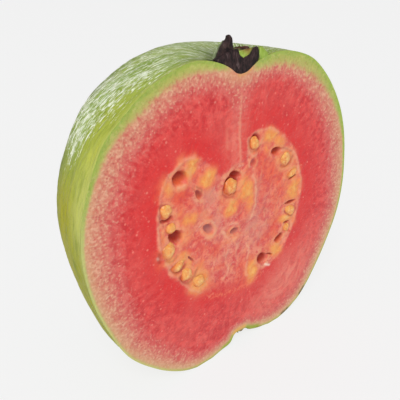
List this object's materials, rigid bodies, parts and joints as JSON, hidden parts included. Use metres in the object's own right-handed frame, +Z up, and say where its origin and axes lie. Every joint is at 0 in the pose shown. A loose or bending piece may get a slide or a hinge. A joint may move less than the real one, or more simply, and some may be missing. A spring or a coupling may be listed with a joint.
{
  "type": "guava half",
  "caption": "Half of a pink guava cut lengthwise, with seeds and hollows in its cut face and a dried calyx on top, standing on its stem end.",
  "frame": {"origin": "middle of the half's length and depth, on the flat spot it rests on", "axes": "+Z up along the fruit's axis from the stem pit to the calyx, +X right across the cut face, +Y from the cut face into the dome"},
  "size_m": [0.0782, 0.0399, 0.0789],
  "materials": {
    "flesh": "moist red flesh, paler towards its yellow-green rind",
    "skin": "satin yellow-green skin, whitish along fine lengthwise wrinkles",
    "seed": "glossy yellow-orange",
    "dried_sepals": "dry, dark brown, wrinkled"
  },
  "bodies": {
    "root": {"half_fruit": "flesh", "dried_calyx": "dried_sepals"}
  },
  "joints": []
}
